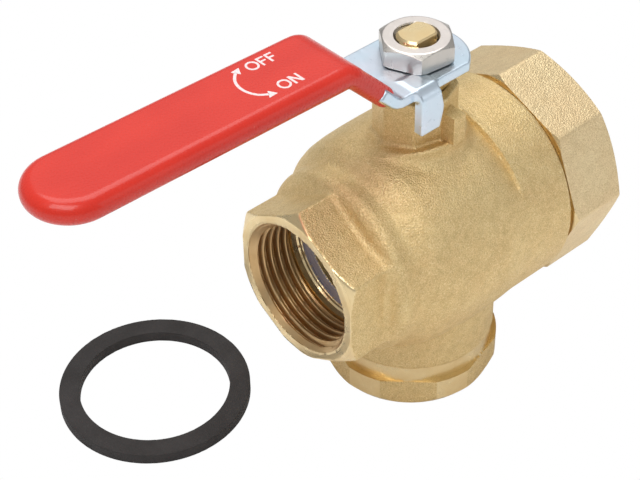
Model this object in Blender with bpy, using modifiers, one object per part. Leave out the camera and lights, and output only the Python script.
"""Three way ball valve: G1 female left and bottom, G1 1/2 swivel union nut right.

All dimensions are in millimetres, measured from the centre of the ball: +X runs along
the flow to the union nut, +Z up the stem; the lever points to -X. The world origin is
the centre of the stem's flat top face, STEM_TOP above the ball centre.

Turned profiles are lists of (radius, height), the height measured along the turning axis.
"""

import math
from collections import namedtuple

import bmesh
import bpy

MM = 0.001
SEGMENTS = 40  # steps round a turned part, unless it gives its own
OVERSHOOT = 1.0  # how far a port's cutter runs past the face it opens

# faces and heights
STEM_TOP = 54.0
FOOT_Z = -43.0
LEFT_FACE_X = -38.0
RIGHT_FACE_X = 27.0
NUT_FACE_X = 45.3

# body
CHAMBER_OUTER_R = 28.2
RIGHT_RING_R = 27.7
RIGHT_RING_CHAMFER = 0.9
NECK_R = 21.2
NECK_BAND_R = 20.9
COLLAR_AF = 42.5
COLLAR_TURN = math.radians(15.0)
COLLAR_ROUND_R = 22.3
COLLAR_TOP = -35.3
LEFT_HEX_AF = 38.0
LEFT_HEX_INNER_X = -25.0
BOSS_R = 10.0
BOSS_TOP = 40.5
LUG_LOW = (-0.9, -13.6, 32.8)
LUG_HIGH = (2.6, -7.0, 37.6)

# G1 ports
G1_MINOR_R = 15.15
G1_CHAMFER_R = 17.0
G1_CHAMFER_DEPTH = 1.85
PORT_DEPTH_X = -22.3
PORT_DEPTH_Z = -26.0
FLOW_R = 12.6

# ball, chamber and seats
BALL_R = 19.0
BALL_BORE_R = 12.5
BALL_CUT_REACH = 22.0
BALL_SLOT_HALF = 2.9
BALL_SLOT_FLOOR = 15.2
CHAMBER_R = 19.7
SEAT_POCKET_R = 17.9
SEAT_POCKET_X = 18.6
BODY_BORE_R = 20.8
BODY_BORE_END_X = 9.0
SEAT_BACKING_R, SEAT_BACKING_WIRE_R, SEAT_BACKING_X = 16.2, 0.85, 17.5

# end connector
SLEEVE_R = 20.9
SLEEVE_FACE_X = 36.5
SLEEVE_INNER_R = 15.5
CONNECTOR_R = 20.5
SEAL_X, SEAL_R, SEAL_WIRE_R = 23.9, 19.6, 1.0
SEAL_GROOVE_R, SEAL_GROOVE_HALF = 18.4, 1.3
RETAINER_X, RETAINER_R, RETAINER_WIRE_R = 32.9, 21.0, 0.9
RETAINER_GROOVE_R, RETAINER_GROOVE_HALF = 19.8, 1.1

# union nut, G1 1/2
NUT_AF = 53.0
NUT_NEAR_X = 28.1
NUT_COLLAR_X = 31.6
NUT_COLLAR_HOLE_R = 21.3
G112_MINOR_R = 22.43
G112_CHAMFER_R = 24.2
G112_RECESS_R = 24.1
G112_RECESS_END_X = 35.2

# gasket lying on the foot's plane
GASKET_CENTRE = (-59.15, 31.2)
GASKET_R, GASKET_HOLE_R, GASKET_T = 24.1, 18.75, 3.0

# stem, packing and gland
STEM_R = 5.0
STEM_BORE_R = 5.3
STEM_THREAD_R = 4.9
STEM_CHAMFER = 0.8
STEM_COLLAR_R = 7.1
STEM_FLATS = 6.8
STEM_FLAT_REACH = 8.0
LEVER_SEAT_Z = 45.1
ORING_Z = {"upper": 29.3, "lower": 26.3}
ORING_R, ORING_WIRE_R = 4.6, 0.55
ORING_GROOVE_R, ORING_GROOVE_HALF = 3.85, 0.8
PACKING_POCKET_R = 7.1
PACKING_FLOOR_Z = 31.2
PACKING_R, PACKING_HOLE_R = 6.8, 5.35
GLAND_TOP = 45.0
GLAND_AF = 14.0

# lever plate
PLATE_T = 2.6
PLATE_Z = 46.7
PLATE_END_R = 12.3
PLATE_HALF = 10.5
TANG_HALF = 8.4
LOWER_BEND_CORNER = (-15.4, PLATE_Z)
UPPER_BEND_CORNER = (-27.9, 59.5)
BEND_R = 5.0
BEND_STEPS = 4
STRAIGHT_END_X = -94.6
LEVER_HOLE_R = 5.2
LEVER_HOLE_HALF = 3.7

# lever grip
GRIP_PITCH = math.radians(1.2)
TIP_X = -103.8
GRIP_HALF = 10.3
GRIP_T = 6.0
GRIP_T_START = 5.0
GRIP_SKEW = 0.25  # shift along the lever per mm across it, at the sleeve's lower end
POCKET_GAP = 0.3

# lever nut, M10 thin
LEVER_NUT_AF = 16.0
LEVER_NUT_Z0, LEVER_NUT_Z1 = 48.3, 53.2
LEVER_NUT_TURN = math.radians(-7.0)

BRASS = dict(colour=(0.72, 0.55, 0.30), roughness=0.42, metallic=1.0)
ZINC = dict(colour=(0.62, 0.70, 0.78), roughness=0.35, metallic=1.0)
NICKEL = dict(colour=(0.75, 0.72, 0.70), roughness=0.25, metallic=1.0)
CHROME = dict(colour=(0.80, 0.80, 0.82), roughness=0.08, metallic=1.0)
PTFE = dict(colour=(0.92, 0.92, 0.90), roughness=0.45, metallic=0.0)
RUBBER = dict(colour=(0.03, 0.03, 0.03), roughness=0.70, metallic=0.0)
RED = dict(colour=(0.80, 0.06, 0.04), roughness=0.30, metallic=0.0)
SPRING = dict(colour=(0.45, 0.45, 0.47), roughness=0.35, metallic=1.0)

for old in list(bpy.data.objects):
    bpy.data.objects.remove(old, do_unlink=True)

parts = bpy.data.collections.new("three_way_valve")
cutters = bpy.data.collections.new("cutters")
bpy.context.scene.collection.children.link(parts)
bpy.context.scene.collection.children.link(cutters)
cutters.hide_render = True


# ---------------------------------------------------------------- building blocks


def material(name, colour, roughness, metallic):
    mat = bpy.data.materials.new(name)
    mat.use_nodes = True
    shader = mat.node_tree.nodes["Principled BSDF"]
    shader.inputs["Base Color"].default_value = (*colour, 1.0)
    shader.inputs["Roughness"].default_value = roughness
    shader.inputs["Metallic"].default_value = metallic
    return mat


def add_object(name, bm, look=None, centre=(0, 0), axis="Z"):
    """An object from a bmesh in metres; a hidden helper when look is None."""
    mesh = bpy.data.meshes.new(name)
    bm.to_mesh(mesh)
    bm.free()
    obj = bpy.data.objects.new(name, mesh)
    obj.location = (centre[0] * MM, centre[1] * MM, -STEM_TOP * MM)
    if axis == "X":
        obj.rotation_euler = (0, math.pi / 2, 0)
    if look is None:
        cutters.objects.link(obj)
        obj.hide_render = True
        obj.display_type = "WIRE"
    else:
        parts.objects.link(obj)
        mesh.materials.append(material(name + "_mat", **look))
    return obj


def turned(name, profile, look=None, axis="Z", segments=SEGMENTS, closed=False, centre=(0, 0)):
    """A profile, run down its outer side, turned about the axis."""
    bm = bmesh.new()
    verts = [bm.verts.new((radius * MM, 0, height * MM)) for radius, height in profile]
    for start, end in zip(verts, verts[1:]):
        bm.edges.new((start, end))
    if closed:
        bm.edges.new((verts[-1], verts[0]))
    obj = add_object(name, bm, look, centre, axis)
    screw = obj.modifiers.new("turn", "SCREW")
    screw.axis = "Z"
    screw.angle = 2 * math.pi
    screw.steps = segments
    screw.render_steps = segments
    screw.use_merge_vertices = True
    screw.merge_threshold = 0.00001
    screw.use_smooth_shade = True
    screw.use_normal_calculate = False
    return obj


def tube(name, outer, inner, low, high, look, segments, centre=(0, 0)):
    profile = [(outer, high), (outer, low), (inner, low), (inner, high)]
    return turned(name, profile, look, segments=segments, closed=True, centre=centre)


def wire_ring(name, ring_r, wire_r, height, look, axis, segments):
    """A ring of six-sided wire whose centre line has radius ring_r."""
    angles = [math.pi / 2 - 2 * math.pi * k / 6 for k in range(6)]
    profile = [(ring_r + wire_r * math.cos(a), height + wire_r * math.sin(a)) for a in angles]
    return turned(name, profile, look, axis, segments, closed=True)


def loft(name, sections, look=None):
    """A closed skin over rings of points, all with the same number of points."""
    bm = bmesh.new()
    rings = [[bm.verts.new([c * MM for c in point]) for point in ring] for ring in sections]
    bm.faces.new(rings[0])
    bm.faces.new(rings[-1])
    count = len(rings[0])
    for near, far in zip(rings, rings[1:]):
        for k in range(count):
            j = (k + 1) % count
            bm.faces.new((near[k], near[j], far[j], far[k]))
    bmesh.ops.recalc_face_normals(bm, faces=bm.faces)
    return add_object(name, bm, look)


def prism(name, sides, radius, low, high, look=None, axis="Z", turn=0.0):
    """A regular prism; its first corner is at `turn` from +X (axis Z) or from +Z (axis X)."""
    angles = [turn + 2 * math.pi * k / sides for k in range(sides)]
    corners = [(radius * math.cos(a), radius * math.sin(a)) for a in angles]
    if axis == "Z":
        rings = [[(u, v, height) for u, v in corners] for height in (low, high)]
    else:
        rings = [[(height, -v, u) for u, v in corners] for height in (low, high)]
    return loft(name, rings, look)


def corner_radius(across_flats, sides):
    return across_flats / 2 / math.cos(math.pi / sides)


def block(name, low, high):
    """A box helper between two opposite corners."""
    bm = bmesh.new()
    bmesh.ops.create_cube(bm, size=1.0)
    for v in bm.verts:
        v.co = [((a + b) / 2 + c * (b - a)) * MM for a, b, c in zip(low, high, v.co)]
    return add_object(name, bm)


def boolean(obj, other, operation):
    mod = obj.modifiers.new(operation.lower() + "_" + other.name, "BOOLEAN")
    mod.operation = operation
    mod.solver = "EXACT"
    mod.object = other


# ---------------------------------------------------------------- body


def left_hexagon():
    port = prism("hex_port", 6, corner_radius(LEFT_HEX_AF, 6), LEFT_FACE_X, LEFT_HEX_INNER_X,
                 axis="X")
    rounding = [(0, -20), (26, -20), (26, -34.0), (22.1, -36.3), (19.3, LEFT_FACE_X),
                (0, LEFT_FACE_X)]
    boolean(port, turned("hex_round", rounding, axis="X", segments=48), "INTERSECT")
    return port


def bottom_neck():
    end = COLLAR_TOP - 0.3  # reaches a little way into the collar
    return turned(
        "neck",
        [(0, -5), (NECK_R, -5), (NECK_R, -30.7), (NECK_BAND_R, -31.1), (NECK_BAND_R, end),
         (0, end)],
        segments=48,
    )


def foot_collar():
    collar = prism("collar", 6, corner_radius(COLLAR_AF, 6), FOOT_Z, COLLAR_TOP,
                   turn=COLLAR_TURN)
    rounding = [(0, -30), (COLLAR_ROUND_R, -30), (COLLAR_ROUND_R, -41.4), (21.0, FOOT_Z),
                (0, FOOT_Z)]
    boolean(collar, turned("collar_round", rounding, segments=72), "INTERSECT")
    return collar


def g1_port(depth, face):
    """The end of a bore's profile: the flow hole, then a chamfered G1 port out of the face."""
    return [
        (FLOW_R, depth),
        (G1_MINOR_R, depth),
        (G1_MINOR_R, face + G1_CHAMFER_DEPTH),
        (G1_CHAMFER_R, face),
        (G1_CHAMFER_R, face - OVERSHOOT),
        (0, face - OVERSHOOT),
    ]


def chamber_cutter():
    """The bore along X, from the right face to the left port."""
    profile = [
        (0, RIGHT_FACE_X + OVERSHOOT),
        (BODY_BORE_R, RIGHT_FACE_X + OVERSHOOT),
        (BODY_BORE_R, BODY_BORE_END_X),
        (CHAMBER_R, BODY_BORE_END_X),
        (CHAMBER_R, -11.5),
        (SEAT_POCKET_R, -11.5),
        (SEAT_POCKET_R, -SEAT_POCKET_X),
        (FLOW_R, -SEAT_POCKET_X),
    ]
    return turned("chamber", profile + g1_port(PORT_DEPTH_X, LEFT_FACE_X), axis="X")


def stem_bore_cutter():
    """Packing pocket, stem hole and the wider room for the stem's collar, from the top."""
    return turned(
        "stem_bore",
        [(0, 42.0), (PACKING_POCKET_R, 42.0), (PACKING_POCKET_R, PACKING_FLOOR_Z),
         (STEM_BORE_R, PACKING_FLOOR_Z), (STEM_BORE_R, 24.0), (7.4, 24.0), (7.4, 14.0),
         (0, 14.0)],
        segments=32,
    )


def build_body():
    # outside of the forging, from the right face to the left hexagon
    outside = [
        (0, RIGHT_FACE_X),
        (RIGHT_RING_R - RIGHT_RING_CHAMFER, RIGHT_FACE_X),
        (RIGHT_RING_R, RIGHT_FACE_X - RIGHT_RING_CHAMFER),
        (RIGHT_RING_R, 14.8), (RIGHT_RING_R - 0.7, 12.6),
        (CHAMBER_OUTER_R - 0.3, 10.4), (CHAMBER_OUTER_R, 5.0), (CHAMBER_OUTER_R, -2.0),
        (27.8, -8.5), (26.9, -13.2), (25.2, -17.0), (23.5, -19.4),
        (23.6, -21.4), (23.3, -23.6), (22.2, -25.3), (0, -25.3),
    ]
    boss_base = [(0, 30.0), (11.4, 30.0), (12.4, 29.2), (12.7, 28.0), (13.6, 24.0), (0, 24.0)]
    body = turned("valve_body", outside, BRASS, axis="X")
    for addition in (
        left_hexagon(),
        bottom_neck(),
        foot_collar(),
        turned("boss_base", boss_base, segments=32),
        prism("boss", 8, BOSS_R, 20.0, BOSS_TOP),
        block("lug", LUG_LOW, LUG_HIGH),
    ):
        boolean(body, addition, "UNION")
    bottom_bore = [(0, -4.0), (FLOW_R, -4.0)] + g1_port(PORT_DEPTH_Z, FOOT_Z)
    for cutter in (chamber_cutter(), turned("bottom_bore", bottom_bore), stem_bore_cutter()):
        boolean(body, cutter, "DIFFERENCE")


# ---------------------------------------------------------------- right end


def build_end_connector():
    """The sleeve in the body's bore, with its seal and the ring that holds the union nut."""
    profile = [
        (SLEEVE_R, SLEEVE_FACE_X),
        (SLEEVE_R, RETAINER_X + RETAINER_GROOVE_HALF),
        (RETAINER_GROOVE_R, RETAINER_X + RETAINER_GROOVE_HALF),
        (RETAINER_GROOVE_R, RETAINER_X - RETAINER_GROOVE_HALF),
        (SLEEVE_R, RETAINER_X - RETAINER_GROOVE_HALF),
        (SLEEVE_R, 27.3),
        (CONNECTOR_R, 27.3),
        (CONNECTOR_R, SEAL_X + SEAL_GROOVE_HALF),
        (SEAL_GROOVE_R, SEAL_X + SEAL_GROOVE_HALF),
        (SEAL_GROOVE_R, SEAL_X - SEAL_GROOVE_HALF),
        (CONNECTOR_R, SEAL_X - SEAL_GROOVE_HALF),
        (CONNECTOR_R, 9.4),
        (SEAT_POCKET_R, 9.4),
        (SEAT_POCKET_R, SEAT_POCKET_X),
        (FLOW_R, SEAT_POCKET_X),
        (FLOW_R, 22.0),
        (SLEEVE_INNER_R, 24.0),
        (SLEEVE_INNER_R, SLEEVE_FACE_X),
    ]
    turned("end_connector", profile, BRASS, axis="X", segments=32, closed=True)
    wire_ring("connector_seal", SEAL_R, SEAL_WIRE_R, SEAL_X, RUBBER, "X", 28)
    wire_ring("nut_retaining_ring", RETAINER_R, RETAINER_WIRE_R, RETAINER_X, SPRING, "X", 28)


def build_union_nut():
    nut = prism("union_nut", 8, corner_radius(NUT_AF, 8), NUT_NEAR_X, NUT_FACE_X, BRASS,
                axis="X")
    rounding = [(0, NUT_FACE_X), (26.0, NUT_FACE_X), (30.0, 43.0), (30.0, 29.4),
                (27.2, NUT_NEAR_X), (0, NUT_NEAR_X)]
    boolean(nut, turned("nut_round", rounding, axis="X", segments=48), "INTERSECT")
    bore = [
        (0, 46.5), (G112_CHAMFER_R, 46.5), (G112_CHAMFER_R, NUT_FACE_X),
        (G112_MINOR_R, 43.5), (G112_MINOR_R, G112_RECESS_END_X),
        (G112_RECESS_R, G112_RECESS_END_X), (G112_RECESS_R, NUT_COLLAR_X),
        (NUT_COLLAR_HOLE_R, NUT_COLLAR_X), (NUT_COLLAR_HOLE_R, 27.0), (0, 27.0),
    ]
    boolean(nut, turned("nut_bore", bore, axis="X"), "DIFFERENCE")


def build_gasket():
    tube("union_gasket", GASKET_R, GASKET_HOLE_R, FOOT_Z, FOOT_Z + GASKET_T, RUBBER,
         segments=48, centre=GASKET_CENTRE)


# ---------------------------------------------------------------- ball and seats


def build_ball():
    """A ball bored through along X and down, with a slot across its top."""
    bm = bmesh.new()
    bmesh.ops.create_uvsphere(bm, u_segments=32, v_segments=14, radius=BALL_R * MM)
    for face in bm.faces:
        face.smooth = True
    ball = add_object("ball", bm, CHROME)
    reach = BALL_CUT_REACH
    through = [(0, reach), (BALL_BORE_R, reach), (BALL_BORE_R, -reach), (0, -reach)]
    down = [(0, 1), (BALL_BORE_R, 1), (BALL_BORE_R, -reach), (0, -reach)]
    for cutter in (
        turned("ball_through", through, axis="X", segments=32),
        turned("ball_down", down, segments=32),
        block("ball_slot", (-reach, -BALL_SLOT_HALF, BALL_SLOT_FLOOR),
              (reach, BALL_SLOT_HALF, reach)),
    ):
        boolean(ball, cutter, "DIFFERENCE")


def build_seats():
    """Each seat has a flat back and a cone facing the ball, with a rubber ring behind it."""
    right = [(17.5, 16.4), (17.5, 11.0), (16.0, 11.0), (12.9, 14.7), (12.9, 16.4)]
    left = [(radius, -x) for radius, x in reversed(right)]
    for side, profile, backing_x in (
        ("right", right, SEAT_BACKING_X),
        ("left", left, -SEAT_BACKING_X),
    ):
        turned("seat_" + side, profile, PTFE, axis="X", segments=28, closed=True)
        wire_ring("seat_backing_" + side, SEAT_BACKING_R, SEAT_BACKING_WIRE_R, backing_x,
                  RUBBER, "X", 28)


# ---------------------------------------------------------------- stem and packing


def build_stem():
    profile = [
        (0, STEM_TOP),
        (STEM_THREAD_R - STEM_CHAMFER, STEM_TOP),
        (STEM_THREAD_R, STEM_TOP - STEM_CHAMFER),
        (STEM_THREAD_R, LEVER_SEAT_Z),
        (STEM_R, LEVER_SEAT_Z),
    ]
    for z in ORING_Z.values():
        top, bottom = z + ORING_GROOVE_HALF, z - ORING_GROOVE_HALF
        profile += [(STEM_R, top), (ORING_GROOVE_R, top), (ORING_GROOVE_R, bottom),
                    (STEM_R, bottom)]
    profile += [(STEM_R, 22.7), (STEM_COLLAR_R, 22.7), (STEM_COLLAR_R, 20.4), (0, 20.4)]
    stem = turned("stem", profile, BRASS, segments=24)
    # tongue in the ball's slot
    boolean(stem, block("tang", (-6.5, -2.6, 15.5), (6.5, 2.6, 20.8)), "UNION")
    reach = STEM_FLAT_REACH
    for side, low, high in (("a", STEM_FLATS / 2, reach), ("b", -reach, -STEM_FLATS / 2)):
        flat = block("stem_flat_" + side, (-reach, low, LEVER_SEAT_Z), (reach, high, 56.0))
        boolean(stem, flat, "DIFFERENCE")
    for level, z in ORING_Z.items():
        wire_ring("stem_oring_" + level, ORING_R, ORING_WIRE_R, z, RUBBER, "Z", 20)


def build_packing():
    # name, outer radius, hole radius, bottom z, top z, look
    for name, outer, inner, low, high, look in (
        ("stem_thrust_washer", STEM_COLLAR_R, STEM_BORE_R, 22.95, 23.7, PTFE),
        ("packing_lower", PACKING_R, PACKING_HOLE_R, 31.5, 34.0, PTFE),
        ("packing_upper", PACKING_R, PACKING_HOLE_R, 34.3, 36.8, PTFE),
        ("gland_washer", PACKING_R, PACKING_HOLE_R, 37.1, 38.0, BRASS),
    ):
        tube(name, outer, inner, low, high, look, segments=24)


def build_gland_nut():
    shank = [(0, 42.0), (PACKING_R, 42.0), (PACKING_R, 38.3), (0, 38.3)]
    gland = turned("gland_nut", shank, BRASS, segments=32)
    head = prism("gland_head", 6, corner_radius(GLAND_AF, 6), 40.8, GLAND_TOP,
                 turn=math.radians(10))
    rounding = [(0, GLAND_TOP), (7.2, GLAND_TOP), (9.0, 44.0), (9.0, 40.0), (0, 40.0)]
    boolean(head, turned("gland_round", rounding), "INTERSECT")
    boolean(gland, head, "UNION")
    hole = [(0, 48), (STEM_BORE_R, 48), (STEM_BORE_R, 36), (0, 36)]
    boolean(gland, turned("gland_hole", hole, segments=32), "DIFFERENCE")


# ---------------------------------------------------------------- lever

# A point on the lever's middle line; the angle is the climb of the line as it runs to -X.
Station = namedtuple("Station", "x z angle")


def bend_stations(corner, before, after):
    """Stations round the bend at a corner, where the angle goes from before to after."""
    sign = 1.0 if after > before else -1.0
    tangent = BEND_R * math.tan(abs(after - before) / 2)
    # the bend's centre lies to the side the path turns to
    centre_x = corner[0] + tangent * math.cos(before) + sign * BEND_R * math.sin(before)
    centre_z = corner[1] - tangent * math.sin(before) + sign * BEND_R * math.cos(before)
    angles = [before + (after - before) * k / BEND_STEPS for k in range(BEND_STEPS + 1)]
    return [
        Station(centre_x - sign * BEND_R * math.sin(a), centre_z - sign * BEND_R * math.cos(a), a)
        for a in angles
    ]


def flat_station(x):
    return Station(x, PLATE_Z, 0.0)


def handle_station(x):
    """The station at x on the straight handle beyond the upper bend."""
    start = UPPER_BEND[-1]
    return Station(x, start.z + (start.x - x) * math.tan(GRIP_PITCH), GRIP_PITCH)


def further(station, distance):
    """A station moved along its own direction, away from the stem."""
    x, z, a = station
    return Station(x - distance * math.cos(a), z + distance * math.sin(a), a)


RISE = math.atan2(
    UPPER_BEND_CORNER[1] - LOWER_BEND_CORNER[1], LOWER_BEND_CORNER[0] - UPPER_BEND_CORNER[0]
)
LOWER_BEND = bend_stations(LOWER_BEND_CORNER, 0.0, RISE)
UPPER_BEND = bend_stations(UPPER_BEND_CORNER, RISE, GRIP_PITCH)
SLOPE_MIDDLE = Station(
    (LOWER_BEND_CORNER[0] + UPPER_BEND_CORNER[0]) / 2,
    (LOWER_BEND_CORNER[1] + UPPER_BEND_CORNER[1]) / 2,
    RISE,
)
HANDLE = UPPER_BEND + [handle_station(x) for x in (-45.0, -70.0, -92.0, STRAIGHT_END_X)]


def point(station, y, normal, shift=0.0):
    """The point y across and `normal` above a station, moved `shift` along the lever."""
    x, z, a = station
    return (
        x + normal * math.sin(a) - shift * math.cos(a),
        y,
        z + normal * math.cos(a) + shift * math.sin(a),
    )


def slab_ring(station, low, high, half_t):
    """A rectangle across the lever, from y = low to y = high."""
    corners = ((low, -half_t), (high, -half_t), (high, half_t), (low, half_t))
    return [point(station, y, normal) for y, normal in corners]


def grip_ring(station, half, thickness, skew=0.0):
    """A stadium-shaped ring of 16 points across the lever."""
    radius = thickness / 2
    points = []
    for side in (1, -1):
        for k in range(8):
            a = math.pi / 2 - math.pi * k / 7
            y = side * (half - radius + radius * math.cos(a))
            points.append(point(station, y, side * radius * math.sin(a), shift=-skew * y))
    return points


def plate_sections():
    stations = []  # station, low y, high y
    # rounded end round the stem
    for x in (12.2, 11.9, 11.2, 10.2, 9.0, 7.6, 6.3, 0.0, -8.0):
        half = min(PLATE_HALF, math.sqrt(max(PLATE_END_R**2 - x * x, 0.0)))
        stations.append((flat_station(x), -half, half))
    # the +Y side narrows before the lower bend, the -Y side after it
    stations.append((flat_station(-13.2), -PLATE_HALF, PLATE_HALF))
    bend_end = LOWER_BEND[-1]
    for station in [flat_station(-13.5)] + LOWER_BEND[1:] + [further(bend_end, 0.5)]:
        stations.append((station, -PLATE_HALF, TANG_HALF))
    for station in [further(bend_end, 0.8), SLOPE_MIDDLE] + HANDLE:
        stations.append((station, -TANG_HALF, TANG_HALF))
    # tapering tip: distance past the straight, half width
    for distance, half in ((3.0, 7.6), (5.2, 5.8), (6.4, 3.6)):
        stations.append((handle_station(STRAIGHT_END_X - distance), -half, half))
    return [slab_ring(station, low, high, PLATE_T / 2) for station, low, high in stations]


def build_lever_plate():
    plate = loft("lever_plate", plate_sections(), ZINC)
    # tab hanging from the plate's -Y edge, as (x, z)
    outline = [(-10.2, 47.5), (-4.8, 47.5), (-3.0, 44.5), (-3.9, 36.6), (-10.2, 36.6)]
    tab = loft("tab", [[(x, y, z) for x, z in outline] for y in (-12.4, -9.8)])
    boolean(plate, tab, "UNION")
    # stem hole: two arcs joined by flats
    half_arc = math.asin(LEVER_HOLE_HALF / LEVER_HOLE_R)
    angles = [half_arc * k / 5 for k in range(-5, 6)]
    arc = [(LEVER_HOLE_R * math.cos(a), LEVER_HOLE_R * math.sin(a)) for a in angles]
    outline = arc + [(-x, -y) for x, y in arc]
    hole = loft("lever_hole", [[(x, y, z) for x, y in outline] for z in (44.0, 52.0)])
    boolean(plate, hole, "DIFFERENCE")


def grip_sections():
    start = further(LOWER_BEND[-1], 0.2)
    rings = [
        grip_ring(start, GRIP_HALF - 0.3, GRIP_T_START - 0.4, GRIP_SKEW),
        grip_ring(further(start, 0.7), GRIP_HALF, GRIP_T_START, GRIP_SKEW),
    ]
    # thickens over 5 mm of x through the upper bend
    for station in HANDLE:
        grown = min(max((-25.0 - station.x) / 5.0, 0.0), 1.0)
        rings.append(grip_ring(station, GRIP_HALF, GRIP_T_START + (GRIP_T - GRIP_T_START) * grown))
    # round tip, also rounded in thickness over its last half thickness
    edge_r = GRIP_T / 2
    for degrees in (18, 34, 48, 60, 71, 80, 86):
        a = math.radians(degrees)
        x = TIP_X + GRIP_HALF - GRIP_HALF * math.sin(a)
        inset = max(0.0, edge_r - (x - TIP_X))
        thickness = min(GRIP_T, 2 * math.sqrt(max(edge_r**2 - inset**2, 0.6)))
        half = max(GRIP_HALF * math.cos(a), thickness / 2 + 0.15)
        rings.append(grip_ring(handle_station(x), half, thickness))
    return rings


def build_grip():
    grip = loft("lever_grip", grip_sections(), RED)
    half_t = PLATE_T / 2 + POCKET_GAP
    path = [flat_station(-10.0)] + LOWER_BEND + [SLOPE_MIDDLE] + HANDLE
    pocket = [(station, TANG_HALF + POCKET_GAP) for station in path]
    for distance, half in ((3.0, 8.0), (6.9, 4.6)):
        pocket.append((handle_station(STRAIGHT_END_X - distance), half))
    rings = [slab_ring(station, -half, half, half_t) for station, half in pocket]
    boolean(grip, loft("grip_pocket", rings), "DIFFERENCE")
    # clears the wide part of the plate where the skewed end of the sleeve meets it
    shoulder = [flat_station(-8.0)] + LOWER_BEND + [further(LOWER_BEND[-1], 1.1)]
    rings = [slab_ring(station, -12, -5, half_t) for station in shoulder]
    boolean(grip, loft("shoulder_cut", rings), "DIFFERENCE")


def build_lever_nut():
    bottom, top = LEVER_NUT_Z0, LEVER_NUT_Z1
    nut = prism("lever_nut", 6, corner_radius(LEVER_NUT_AF, 6), bottom, top, NICKEL,
                turn=LEVER_NUT_TURN)
    rounding = [(0, top), (7.7, top), (9.5, top - 1.0), (9.5, bottom + 0.5), (8.7, bottom),
                (0, bottom)]
    boolean(nut, turned("lever_nut_round", rounding, segments=36), "INTERSECT")
    hole = [(0, 56.0), (5.7, 56.0), (5.7, top), (5.15, top - 0.55), (5.15, 48.0), (0, 48.0)]
    boolean(nut, turned("lever_nut_hole", hole, segments=32), "DIFFERENCE")


build_body()
build_end_connector()
build_union_nut()
build_gasket()
build_ball()
build_seats()
build_stem()
build_packing()
build_gland_nut()
build_lever_plate()
build_grip()
build_lever_nut()
